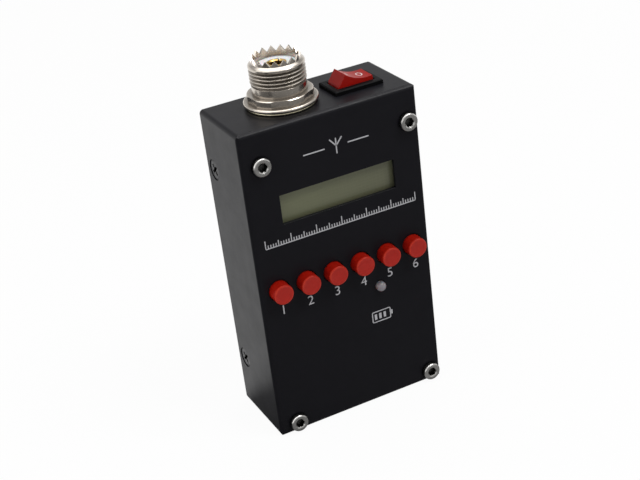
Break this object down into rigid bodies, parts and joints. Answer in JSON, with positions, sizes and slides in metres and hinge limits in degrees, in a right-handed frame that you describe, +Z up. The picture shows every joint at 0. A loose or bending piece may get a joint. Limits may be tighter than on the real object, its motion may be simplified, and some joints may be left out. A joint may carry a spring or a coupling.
{
  "type": "antenna analyzer",
  "caption": "Pocket antenna analyzer: folded steel case with threaded antenna socket and rocker switch on top, display, red push buttons and charge lamp in front.",
  "frame": {"origin": "centre of the case's bottom face", "axes": "+Z up to the antenna socket, the display faces -Y, +X to the right of the display"},
  "size_m": [0.055, 0.0289, 0.1111],
  "materials": {
    "case_paint": "satin black powder coat",
    "cover_paint": "satin black powder coat",
    "bright_steel": "turned stainless steel",
    "black_steel": "blackened steel",
    "post_metal": "nickel-plated brass",
    "board_green": "solder-masked glass fibre",
    "display_glass": "olive-grey display glass",
    "white_plastic": "milky diffuser",
    "black_plastic": "moulded black plastic",
    "plated_pin": "plated pins",
    "spring_steel": "thin spring steel",
    "red_cap": "semi-gloss red plastic",
    "lamp_lens": "diffused lamp epoxy",
    "nickel": "bright nickel plate",
    "brassy_nickel": "thin yellowish plate",
    "insulator_white": "white fluoropolymer",
    "gilt": "gilt contact",
    "clear_sleeve": "white lead sleeve",
    "black_sleeve": "black lead sleeve",
    "red_sleeve": "red lead sleeve",
    "rocker_red": "glossy red plastic",
    "copper": "copper contact",
    "cell_wrap": "silvery pouch",
    "guard_tape": "amber tape",
    "foam": "double-sided foam",
    "ivory_plastic": "ivory connector plastic",
    "chip_body": "moulded chip body",
    "part_dark": "ferrite and resistor bodies",
    "part_tan": "ceramic capacitor bodies"
  },
  "bodies": {
    "case": {"front_shell": "case_paint", "rear_cover": "cover_paint", "front_screws": "bright_steel", "side_screws": "black_steel", "board_posts": "post_metal", "main_board": "board_green", "lcd_frame": "black_plastic", "lcd_glass": "display_glass", "lcd_light": "white_plastic", "lcd_board": "board_green", "lcd_header": "black_plastic", "lcd_pins": "plated_pin", "tact_bases": "black_plastic", "tact_covers": "spring_steel", "tact_domes": "spring_steel", "charge_lamp": "lamp_lens", "lamp_leads": "spring_steel", "socket_body": "nickel", "socket_insulator": "insulator_white", "socket_contact": "gilt", "socket_nut": "nickel", "socket_washer": "nickel", "lock_washer": "brassy_nickel", "earth_tag": "spring_steel", "signal_lead": "clear_sleeve", "earth_lead": "black_sleeve", "switch_housing": "black_plastic", "switch_terminals": "spring_steel", "switch_leads": "red_sleeve", "battery_cell": "cell_wrap", "cell_guard": "guard_tape", "battery_tape": "foam", "battery_plug": "ivory_plastic", "battery_header": "ivory_plastic", "battery_leads": "red_sleeve", "usb_shell": "spring_steel", "usb_tongue": "black_plastic", "controller_chip": "chip_body", "signal_chip": "chip_body", "charger_chip": "chip_body", "chip_legs": "spring_steel", "clock_can": "spring_steel", "filter_coils": "part_dark", "capacitors": "part_tan", "resistors": "part_dark"},
    "button_1": {"button_cap_1": "red_cap", "tact_stem_1": "black_plastic"},
    "button_2": {"button_cap_2": "red_cap", "tact_stem_2": "black_plastic"},
    "button_3": {"button_cap_3": "red_cap", "tact_stem_3": "black_plastic"},
    "button_4": {"button_cap_4": "red_cap", "tact_stem_4": "black_plastic"},
    "button_5": {"button_cap_5": "red_cap", "tact_stem_5": "black_plastic"},
    "button_6": {"button_cap_6": "red_cap", "tact_stem_6": "black_plastic"},
    "rocker": {"switch_rocker": "rocker_red", "rocker_plunger": "white_plastic"},
    "lever": {"switch_lever": "copper"}
  },
  "joints": [
    {"name": "press_1", "type": "slide", "parent": "case", "child": "button_1", "axis": [0, 1, 0], "range_m": [0, 0.00025], "stiffness_N_per_m": 3000},
    {"name": "press_2", "type": "slide", "parent": "case", "child": "button_2", "axis": [0, 1, 0], "range_m": [0, 0.00025], "stiffness_N_per_m": 3000},
    {"name": "press_3", "type": "slide", "parent": "case", "child": "button_3", "axis": [0, 1, 0], "range_m": [0, 0.00025], "stiffness_N_per_m": 3000},
    {"name": "press_4", "type": "slide", "parent": "case", "child": "button_4", "axis": [0, 1, 0], "range_m": [0, 0.00025], "stiffness_N_per_m": 3000},
    {"name": "press_5", "type": "slide", "parent": "case", "child": "button_5", "axis": [0, 1, 0], "range_m": [0, 0.00025], "stiffness_N_per_m": 3000},
    {"name": "press_6", "type": "slide", "parent": "case", "child": "button_6", "axis": [0, 1, 0], "range_m": [0, 0.00025], "stiffness_N_per_m": 3000},
    {"name": "rocker_tilt", "type": "hinge", "parent": "case", "child": "rocker", "pos_m": [0.0137, -0.0006, 0.096], "axis": [0, -1, 0], "range_deg": [0, 30]},
    {"name": "lever_tilt", "type": "hinge", "parent": "case", "child": "lever", "pos_m": [0.0137, -0.0006, 0.0915], "axis": [0, -1, 0], "range_deg": [-12, 0]}
  ],
  "couplings": [
    {"joint": "lever_tilt", "follows": "rocker_tilt", "ratio": -0.4}
  ]
}
